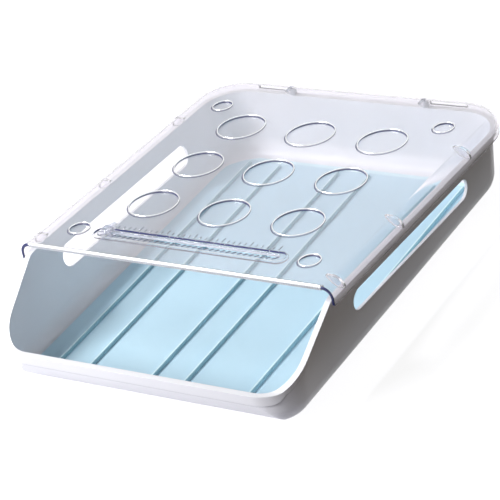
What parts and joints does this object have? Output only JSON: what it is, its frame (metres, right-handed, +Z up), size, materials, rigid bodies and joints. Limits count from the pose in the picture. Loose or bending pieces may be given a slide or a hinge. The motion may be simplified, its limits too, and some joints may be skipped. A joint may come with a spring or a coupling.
{
  "type": "egg storage box",
  "caption": "Scoop-fronted bin with side slots, a ribbed liner, a clear dished lid that lifts off and a date slider in the lid's notched track.",
  "frame": {"origin": "bottom centre of the whole box, on the plane of the four feet", "axes": "+X across the box to the right, +Y from the scooped front to the back, +Z up"},
  "size_m": [0.2186, 0.277, 0.0677],
  "materials": {
    "bin_plastic": "moulded white polypropylene, satin gloss",
    "liner_plastic": "moulded light blue polypropylene, satin",
    "lid_plastic": "clear moulded polystyrene, polished",
    "slider_plastic": "clear moulded polystyrene, polished"
  },
  "bodies": {
    "bin_body": {"bin": "bin_plastic"},
    "lid_body": {"lid": "lid_plastic"},
    "slider_body": {"date_slider": "slider_plastic"},
    "liner_body": {"liner": "liner_plastic"}
  },
  "joints": [
    {"name": "lid_lift", "type": "slide", "parent": "bin_body", "child": "lid_body", "axis": [0, 0.0628, 0.998], "range_m": [0, 0.06]},
    {"name": "date_slide", "type": "slide", "parent": "lid_body", "child": "slider_body", "axis": [1, 0, 0], "range_m": [0, 0.117]},
    {"name": "liner_lift", "type": "slide", "parent": "bin_body", "child": "liner_body", "axis": [0, 0, 1], "range_m": [0, 0.028]}
  ]
}
